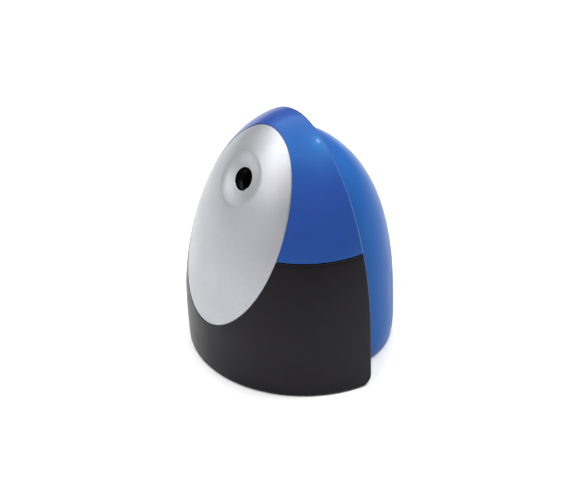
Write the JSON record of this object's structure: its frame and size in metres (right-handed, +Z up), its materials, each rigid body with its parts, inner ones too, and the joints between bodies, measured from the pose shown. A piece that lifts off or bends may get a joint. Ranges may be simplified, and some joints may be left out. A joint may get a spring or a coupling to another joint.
{
  "type": "battery pencil sharpener",
  "caption": "Desktop battery pencil sharpener: domed hood, oval face plate with a slanted pencil port, pull-out shavings bin, rounded rear housing with a battery door.",
  "frame": {"origin": "on the table, under the middle of the object's box", "axes": "+Z up, the face with the pencil port towards -Y, +X to the right seen from the front"},
  "size_m": [0.093, 0.084, 0.105],
  "materials": {
    "blue_plastic": "gloss, lightly textured by moulding",
    "black_plastic": "satin gloss",
    "silver_plastic": "satin metallic paint",
    "grey_plastic": "matte moulded",
    "white_plastic": "natural acetal",
    "rubber": "matte",
    "steel": "zinc plated",
    "dark_steel": "ground",
    "brass": "plated strip",
    "cell_sleeve": "printed sleeve without lettering"
  },
  "bodies": {
    "casing": {"hood": "blue_plastic", "rear_housing": "blue_plastic", "base_plate": "black_plastic", "start_switch": "black_plastic", "bin_switch": "black_plastic", "chassis": "grey_plastic", "cutter_shroud": "grey_plastic", "gear_cover": "grey_plastic", "pencil_guide": "black_plastic", "motor_cap": "white_plastic", "motor_can": "dark_steel", "idler_axle": "steel", "start_lever_pin": "steel", "cutter_bush": "brass", "foot_front_left": "rubber", "foot_front_right": "rubber", "foot_rear_left": "rubber", "foot_rear_right": "rubber", "cell_lower_front": "cell_sleeve", "cell_spring_lower_front": "steel", "cell_lower_rear": "cell_sleeve", "cell_spring_lower_rear": "steel", "cell_upper_front": "cell_sleeve", "cell_spring_upper_front": "steel", "cell_upper_rear": "cell_sleeve", "cell_spring_upper_rear": "steel", "contact_link_front": "brass", "contact_link_rear": "brass", "contact_link_lower": "brass", "contact_plus": "brass", "contact_minus": "brass", "hood_screw_left": "steel", "hood_screw_right": "steel", "base_screw_left": "steel", "base_screw_right": "steel", "rear_screw_left": "steel", "rear_screw_right": "steel", "motor_screw_1": "steel", "motor_screw_2": "steel", "shroud_screw_1": "steel", "shroud_screw_2": "steel", "cover_screw_1": "steel", "cover_screw_2": "steel", "cover_screw_3": "steel"},
    "bin": {"shavings_bin": "black_plastic", "face_plate": "silver_plastic"},
    "cutter": {"cutter_carrier": "dark_steel", "cutter_blade": "steel", "blade_screw": "steel", "cutter_gear": "white_plastic"},
    "idler": {"idler_gear": "white_plastic"},
    "rotor": {"motor_shaft": "steel", "motor_pinion": "brass"},
    "door": {"battery_door": "blue_plastic"},
    "lever": {"start_lever": "white_plastic"},
    "plunger": {"bin_switch_plunger": "white_plastic"}
  },
  "joints": [
    {"name": "bin_slide", "type": "slide", "parent": "casing", "child": "bin", "axis": [0, -1, 0], "range_m": [0, 0.055]},
    {"name": "cutter_spin", "type": "hinge", "parent": "casing", "child": "cutter", "pos_m": [0, 0.01087, 0.06295], "axis": [0, -0.8387, 0.5446], "continuous": true},
    {"name": "idler_spin", "type": "hinge", "parent": "casing", "child": "idler", "pos_m": [0.01123, 0.01099, 0.05101], "axis": [0, -0.8387, 0.5446], "continuous": true},
    {"name": "motor_spin", "type": "hinge", "parent": "casing", "child": "rotor", "pos_m": [0.0192, 0.01003, 0.0635], "axis": [0, -0.8387, 0.5446], "continuous": true},
    {"name": "door_slide", "type": "slide", "parent": "casing", "child": "door", "axis": [0, 1, 0], "range_m": [0, 0.03]},
    {"name": "start_lever_hinge", "type": "hinge", "parent": "casing", "child": "lever", "pos_m": [0, -0.01311, 0.06458], "axis": [1, 0, 0], "range_deg": [0, 6], "stiffness_Nm_per_rad": 0.03},
    {"name": "plunger_slide", "type": "slide", "parent": "casing", "child": "plunger", "axis": [0, 1, 0], "range_m": [0, 0.0011], "stiffness_N_per_m": 300}
  ],
  "couplings": [
    {"joint": "idler_spin", "follows": "cutter_spin", "ratio": -3},
    {"joint": "motor_spin", "follows": "cutter_spin", "ratio": 7.2}
  ]
}
